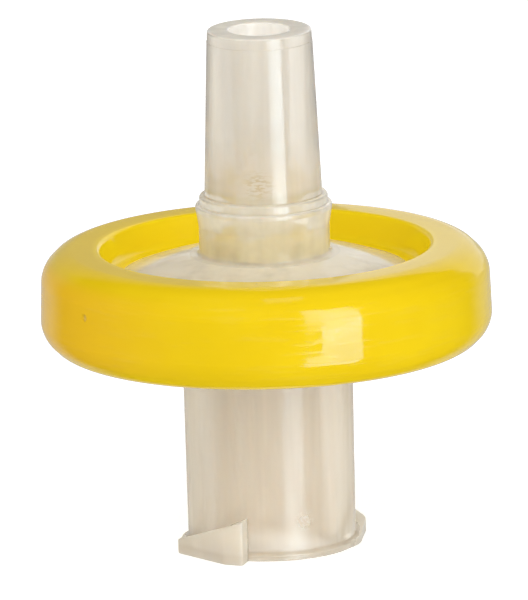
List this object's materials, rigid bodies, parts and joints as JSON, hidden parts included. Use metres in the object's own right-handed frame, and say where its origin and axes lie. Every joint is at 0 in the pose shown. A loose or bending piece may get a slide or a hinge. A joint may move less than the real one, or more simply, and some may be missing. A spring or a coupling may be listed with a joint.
{
  "type": "syringe filter",
  "caption": "Small disc syringe filter: a clamped membrane between a female Luer lock inlet tube and a male Luer slip outlet tip, held shut by an overmoulded ring.",
  "frame": {"origin": "centre of the female Luer mouth's end plane, on the axis, where the part stands", "axes": "+Z along the axis from the female mouth to the male tip; -Y towards the side where the first lug's end face is, just left of it seen from -Y; +X to the right of that view"},
  "size_m": [0.017, 0.017, 0.0197],
  "materials": {
    "natural_polypropylene": "translucent natural moulding, smooth with a soft gloss",
    "membrane": "matt porous white",
    "yellow_polypropylene": "opaque, glossy"
  },
  "bodies": {
    "root": {"inlet_housing": "natural_polypropylene", "filter_membrane": "membrane", "outlet_housing": "natural_polypropylene", "clamp_ring": "yellow_polypropylene"}
  },
  "joints": []
}
